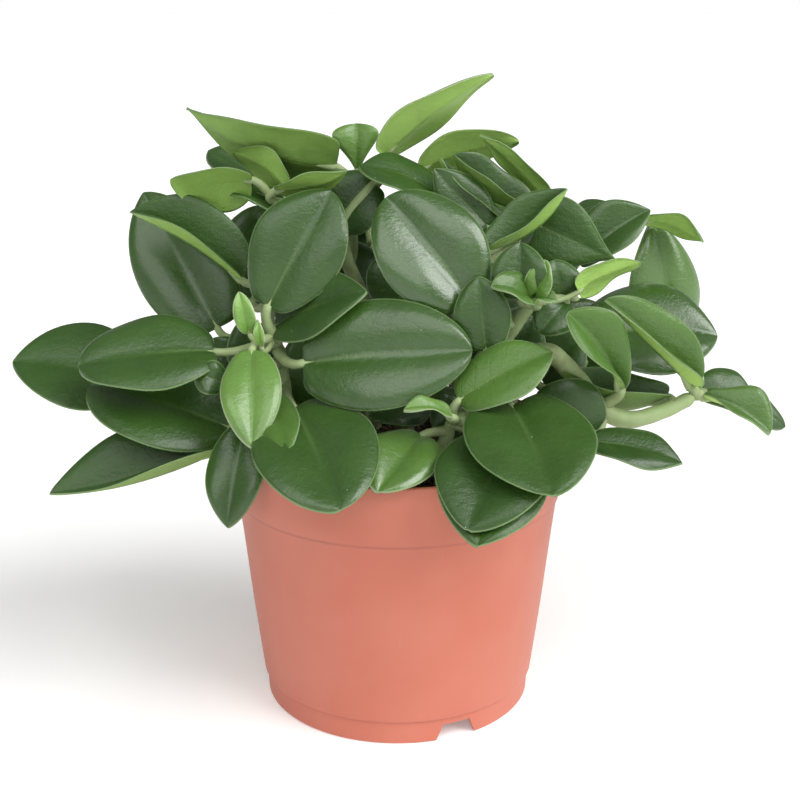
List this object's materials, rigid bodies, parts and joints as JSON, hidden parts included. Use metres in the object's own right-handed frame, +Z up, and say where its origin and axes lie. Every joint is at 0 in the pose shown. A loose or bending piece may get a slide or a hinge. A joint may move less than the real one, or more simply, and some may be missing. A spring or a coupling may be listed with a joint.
{
  "type": "potted peperomia",
  "caption": "Bushy peperomia with thick oval leaves on fleshy stalks, growing in soil in a plain tapered terracotta-coloured nursery pot.",
  "frame": {"origin": "on the pot's axis, in the plane of the foot that it stands on", "axes": "+Z up, +X to the right and +Y to the back, as the plant is seen from its front"},
  "size_m": [0.2702, 0.1621, 0.2193],
  "materials": {
    "pot": "moulded plastic, satin, terracotta-coloured",
    "soil": "moist dark potting soil of peat and bark",
    "foliage": "waxy dark green leaf, paler below, with pale green stalks"
  },
  "bodies": {
    "root": {"pot": "pot", "soil": "soil", "stem_front_left": "foliage", "stem_left": "foliage", "stem_back_left": "foliage", "stem_top_left": "foliage", "stem_top": "foliage", "stem_centre": "foliage", "stem_top_right": "foliage", "stem_upper_right": "foliage", "stem_right": "foliage", "stem_right_front": "foliage", "stem_front_right": "foliage", "stem_low_right": "foliage", "stem_rear_left": "foliage", "stem_rear_mid_left": "foliage", "stem_rear_mid_right": "foliage", "stem_rear_right": "foliage"}
  },
  "joints": []
}
